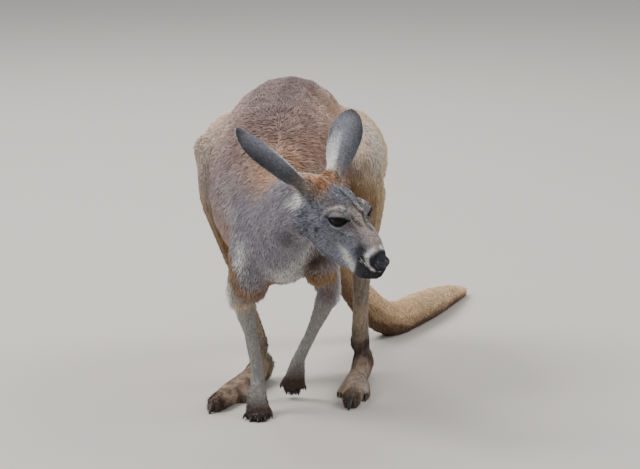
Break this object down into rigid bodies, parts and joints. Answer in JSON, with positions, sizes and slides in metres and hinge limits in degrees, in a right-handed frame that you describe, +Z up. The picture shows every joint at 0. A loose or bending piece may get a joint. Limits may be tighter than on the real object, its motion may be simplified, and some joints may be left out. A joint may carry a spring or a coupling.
{
  "type": "red kangaroo",
  "caption": "Female red kangaroo walking on all fours, head turned to its left and lowered, thick tail down behind; a still life-size animal figure.",
  "frame": {"origin": "on the floor, under the middle of the whole animal's bounding box", "axes": "+X is the animal's left, its body faces -Y with the tail towards +Y, +Z is up from the floor"},
  "size_m": [0.4162, 1.179, 0.5082],
  "materials": {
    "grey coat": "short dense blue-grey fur",
    "rufous coat": "short dense rosy brown fur, greyer along the back",
    "tan coat": "short dense tan fur",
    "sandy coat": "short dense sandy fur",
    "pale grey coat": "short fine pale grey fur",
    "brown coat": "short harsh brown fur",
    "dark grey coat": "very short dark grey fur",
    "horn": "smooth dark horn",
    "nose skin": "bare moist black skin",
    "eye": "wet dark brown eye"
  },
  "bodies": {
    "root": {"head": "grey coat", "lower_jaw": "grey coat", "neck": "grey coat", "chest": "rufous coat", "rump": "rufous coat", "tail_root": "sandy coat", "tail_bend": "sandy coat", "tail_middle": "sandy coat", "tail_tip": "sandy coat", "nose": "nose skin", "left_ear": "dark grey coat", "left_eye": "eye", "left_upper_arm": "grey coat", "left_forearm": "pale grey coat", "left_hand": "brown coat", "left_thigh": "tan coat", "left_shank": "tan coat", "left_foot": "brown coat", "left_thumb_claw": "horn", "left_index_claw": "horn", "left_middle_claw": "horn", "left_ring_claw": "horn", "left_little_claw": "horn", "left_fourth_toe_claw": "horn", "left_fifth_toe_claw": "horn", "left_third_toe_claw": "horn", "left_second_toe_claw": "horn", "right_ear": "dark grey coat", "right_eye": "eye", "right_upper_arm": "grey coat", "right_forearm": "pale grey coat", "right_hand": "brown coat", "right_thigh": "tan coat", "right_shank": "tan coat", "right_foot": "brown coat", "right_thumb_claw": "horn", "right_index_claw": "horn", "right_middle_claw": "horn", "right_ring_claw": "horn", "right_little_claw": "horn", "right_fourth_toe_claw": "horn", "right_fifth_toe_claw": "horn", "right_third_toe_claw": "horn", "right_second_toe_claw": "horn"}
  },
  "joints": []
}
